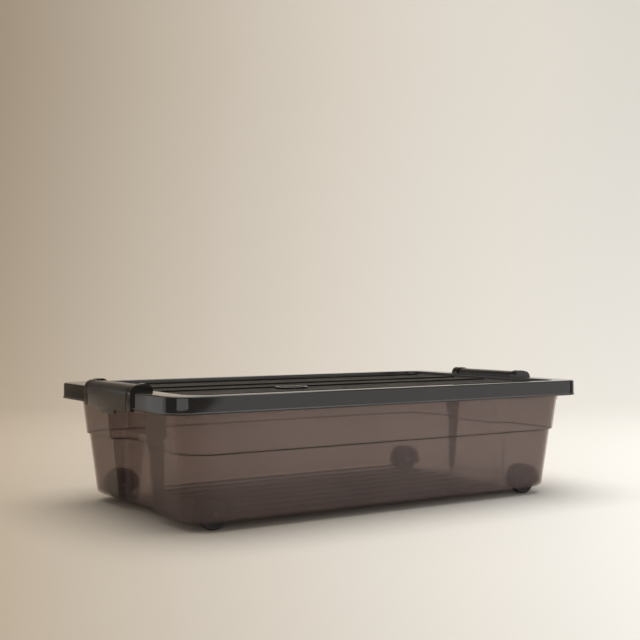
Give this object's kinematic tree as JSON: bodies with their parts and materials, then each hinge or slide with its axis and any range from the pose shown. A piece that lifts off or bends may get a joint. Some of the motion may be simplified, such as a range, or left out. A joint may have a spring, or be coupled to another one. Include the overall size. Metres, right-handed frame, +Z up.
{
  "type": "under bed box",
  "caption": "Long low storage box for under a bed, with a drafted translucent tub, ribbed lid, hinged end clips and small rolling wheels.",
  "frame": {"origin": "centre of the floor plane under the box, where the wheels touch", "axes": "+X along the long side, +Y towards the back long side, +Z up"},
  "size_m": [0.72, 0.4024, 0.189],
  "materials": {
    "tub_plastic": "translucent smoke brown, smooth moulded",
    "lid_plastic": "glossy dark smoke",
    "clip_plastic": "satin dark smoke",
    "wheel_plastic": "matt black",
    "axle_steel": "plain"
  },
  "bodies": {
    "tub": {"tub": "tub_plastic", "axle_front_left": "axle_steel", "axle_front_right": "axle_steel", "axle_back_left": "axle_steel", "axle_back_right": "axle_steel"},
    "lid": {"lid": "lid_plastic"},
    "clip_left": {"clip_left": "clip_plastic"},
    "clip_right": {"clip_right": "clip_plastic"},
    "wheel_front_left": {"wheel_front_left": "wheel_plastic"},
    "wheel_front_right": {"wheel_front_right": "wheel_plastic"},
    "wheel_back_left": {"wheel_back_left": "wheel_plastic"},
    "wheel_back_right": {"wheel_back_right": "wheel_plastic"}
  },
  "joints": [
    {"name": "lid_lift", "type": "slide", "parent": "tub", "child": "lid", "axis": [0, 0, 1], "range_m": [0, 0.15]},
    {"name": "clip_left_hinge", "type": "hinge", "parent": "lid", "child": "clip_left", "pos_m": [-0.338, 0, 0.178], "axis": [0, 1, 0], "range_deg": [0, 105]},
    {"name": "clip_right_hinge", "type": "hinge", "parent": "lid", "child": "clip_right", "pos_m": [0.338, 0, 0.178], "axis": [0, -1, 0], "range_deg": [0, 105]},
    {"name": "wheel_front_left_spin", "type": "hinge", "parent": "tub", "child": "wheel_front_left", "pos_m": [-0.274, -0.15, 0.021], "axis": [0, 1, 0], "continuous": true},
    {"name": "wheel_front_right_spin", "type": "hinge", "parent": "tub", "child": "wheel_front_right", "pos_m": [0.274, -0.15, 0.021], "axis": [0, 1, 0], "continuous": true},
    {"name": "wheel_back_left_spin", "type": "hinge", "parent": "tub", "child": "wheel_back_left", "pos_m": [-0.274, 0.15, 0.021], "axis": [0, 1, 0], "continuous": true},
    {"name": "wheel_back_right_spin", "type": "hinge", "parent": "tub", "child": "wheel_back_right", "pos_m": [0.274, 0.15, 0.021], "axis": [0, 1, 0], "continuous": true}
  ]
}
